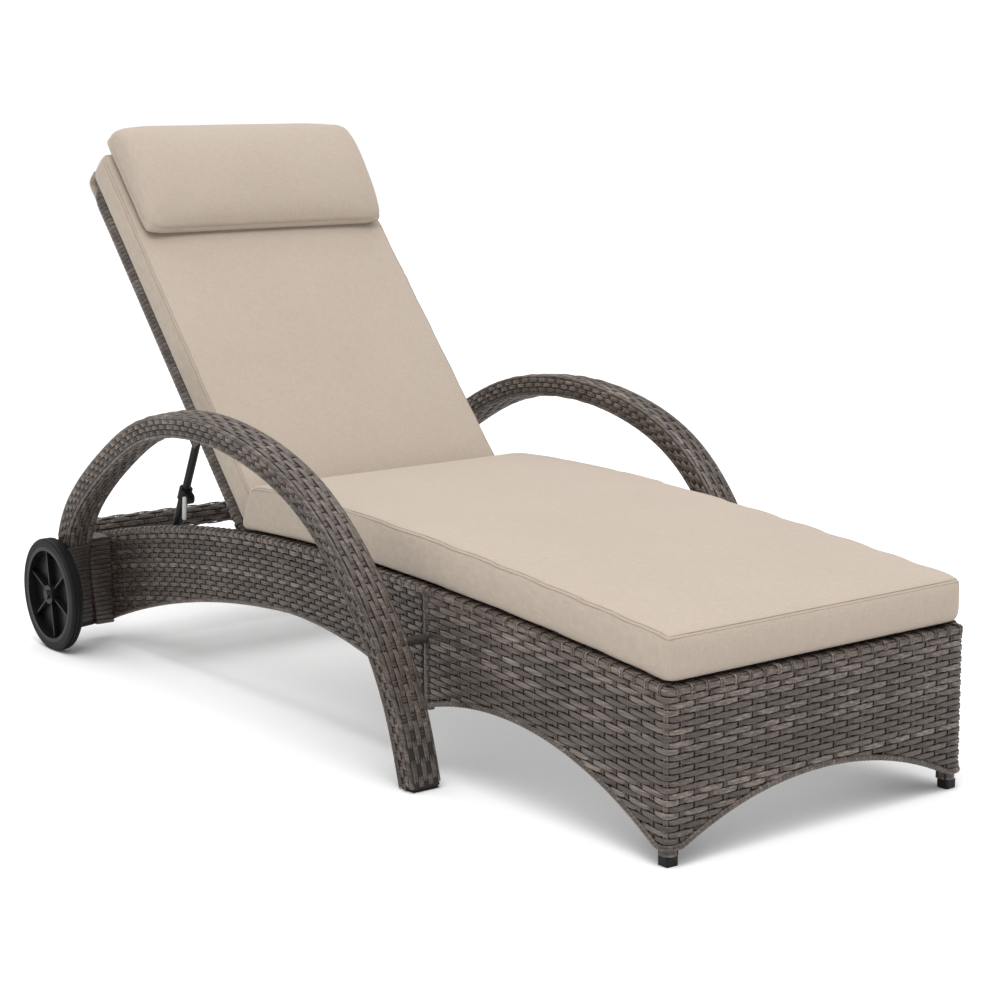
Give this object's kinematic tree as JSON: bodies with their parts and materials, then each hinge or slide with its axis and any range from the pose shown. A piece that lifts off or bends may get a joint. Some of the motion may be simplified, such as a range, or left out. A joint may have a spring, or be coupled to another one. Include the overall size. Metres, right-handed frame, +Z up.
{
  "type": "sun lounger",
  "caption": "Reclining woven sun lounger with arched arms, wheels at the head end, a strut-held adjustable backrest, boxed cushions and a head pillow.",
  "frame": {"origin": "centre of the bounding box at floor level, with the backrest as in the picture", "axes": "+X across the width, +Y towards the head end and wheels, +Z up"},
  "size_m": [0.963, 1.9811, 1.1051],
  "materials": {
    "wicker": "woven synthetic wicker",
    "cushion": "fine woven upholstery fabric",
    "black_plastic": "moulded",
    "tyre": "smooth",
    "steel": "plain",
    "strut": "satin powder coat",
    "lever": "moulded",
    "frame": "satin powder coat"
  },
  "bodies": {
    "base": {"arm_foot_left": "black_plastic", "arm_foot_right": "black_plastic", "arm_left": "wicker", "arm_right": "wicker", "arm_spacers": "frame", "axle_caps": "steel", "corner_leg_left": "wicker", "corner_leg_right": "wicker", "cross_bar_front": "frame", "cross_bar_hinge": "frame", "cross_bar_middle": "frame", "foot_cap_left": "black_plastic", "foot_cap_right": "black_plastic", "foot_panel": "wicker", "foot_rail": "frame", "head_rail": "wicker", "hinge_pins": "steel", "hinge_plates": "frame", "seat_cushion": "cushion", "seat_deck": "wicker", "side_panel_front_left": "wicker", "side_panel_front_right": "wicker", "side_panel_rear_left": "wicker", "side_panel_rear_right": "wicker", "side_posts_left": "frame", "side_posts_right": "frame", "side_rail_left": "frame", "side_rail_right": "frame", "strut_bar": "frame", "wheel_axle": "steel", "wheel_washers": "steel"},
    "back": {"back_bar_lower": "frame", "back_bar_middle": "frame", "back_bar_upper": "frame", "back_cushion": "cushion", "back_panel": "wicker", "back_rail_left": "wicker", "back_rail_right": "wicker", "back_top_rail": "wicker", "head_flap": "cushion", "hinge_lug_left": "frame", "hinge_lug_right": "frame", "pillow": "cushion", "strut_bracket_left": "frame", "strut_bracket_right": "frame"},
    "strut_tubes": {"lever_housing": "black_plastic", "strut_collar_left": "black_plastic", "strut_collar_right": "black_plastic", "strut_tube_left": "strut", "strut_tube_right": "strut"},
    "strut_rods": {"strut_rod_left": "strut", "strut_rod_right": "strut"},
    "release_lever": {"release_lever": "lever"},
    "wheel_left": {"wheel_left": "black_plastic", "tyre_left": "tyre"},
    "wheel_right": {"wheel_right": "black_plastic", "tyre_right": "tyre"}
  },
  "joints": [
    {"name": "backrest_recline", "type": "hinge", "parent": "base", "child": "back", "pos_m": [0, 0.3225, 0.303], "axis": [1, 0, 0], "range_deg": [-23, 16]},
    {"name": "strut_swing", "type": "hinge", "parent": "base", "child": "strut_tubes", "pos_m": [0, 0.7125, 0.122], "axis": [1, 0, 0], "range_deg": [-3.2, 2.3]},
    {"name": "strut_slide", "type": "slide", "parent": "strut_tubes", "child": "strut_rods", "axis": [0, -0.4551, 0.8905], "range_m": [-0.1096, 0.0764]},
    {"name": "release_lever_turn", "type": "hinge", "parent": "strut_tubes", "child": "release_lever", "pos_m": [-0.288, 0.57453, 0.35021], "axis": [-1, 0, 0], "range_deg": [0, 20], "stiffness_Nm_per_rad": 0.06, "springref_deg": -8.59},
    {"name": "wheel_left_spin", "type": "hinge", "parent": "base", "child": "wheel_left", "pos_m": [-0.4635, 0.8695, 0.121], "axis": [1, 0, 0], "continuous": true},
    {"name": "wheel_right_spin", "type": "hinge", "parent": "base", "child": "wheel_right", "pos_m": [0.4635, 0.8695, 0.121], "axis": [1, 0, 0], "continuous": true}
  ],
  "couplings": [
    {"joint": "strut_swing", "follows": "backrest_recline", "ratio": 0.1361},
    {"joint": "strut_slide", "follows": "backrest_recline", "m_per_rad": 0.27219}
  ]
}
